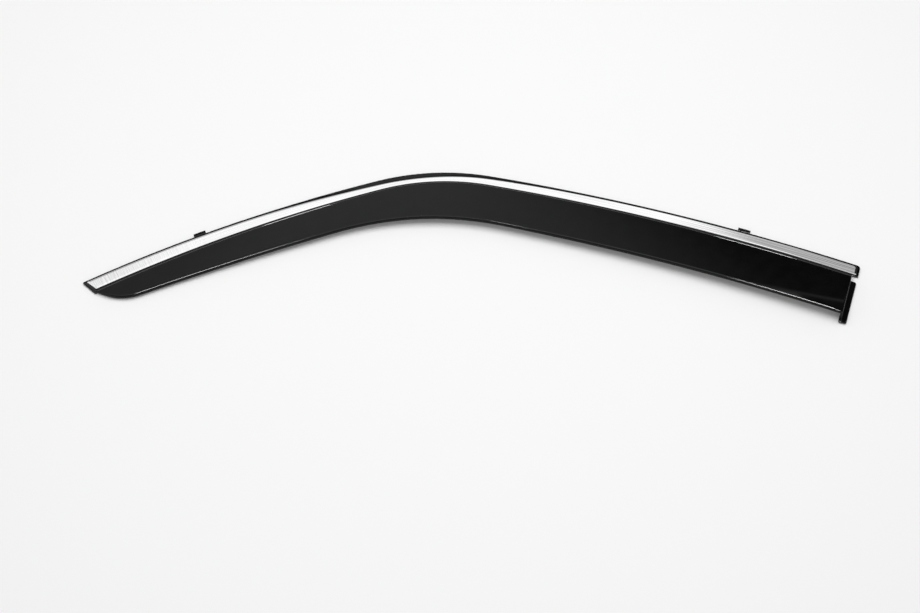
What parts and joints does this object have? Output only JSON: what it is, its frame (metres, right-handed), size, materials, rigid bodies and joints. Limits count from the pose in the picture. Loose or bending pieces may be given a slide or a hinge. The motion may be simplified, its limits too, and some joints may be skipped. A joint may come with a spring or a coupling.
{
  "type": "window rain deflector",
  "caption": "Angled gloss black window visor for a car's front door, with a bright strip along its taped top flange, hooked clips and a folded rear end; sheds rain over an open window.",
  "frame": {"origin": "middle of the part's footprint, on the plane of the tape's mounting faces", "axes": "+X along the door from the front tip to the rear end, +Y up the door, +Z outward from the door"},
  "size_m": [0.9943, 0.2302, 0.0213],
  "materials": {
    "gloss_black": "polished dark acrylic, close to opaque",
    "bright_strip": "bright plated",
    "clip_black": "satin black",
    "foam_tape": "closed-cell foam with a film liner"
  },
  "bodies": {
    "root": {"visor_shield": "gloss_black", "chrome_trim": "bright_strip", "clip_front": "clip_black", "clip_rear": "clip_black", "tape_pillar": "foam_tape", "tape_corner": "foam_tape", "tape_roof": "foam_tape", "tape_end": "foam_tape"}
  },
  "joints": []
}
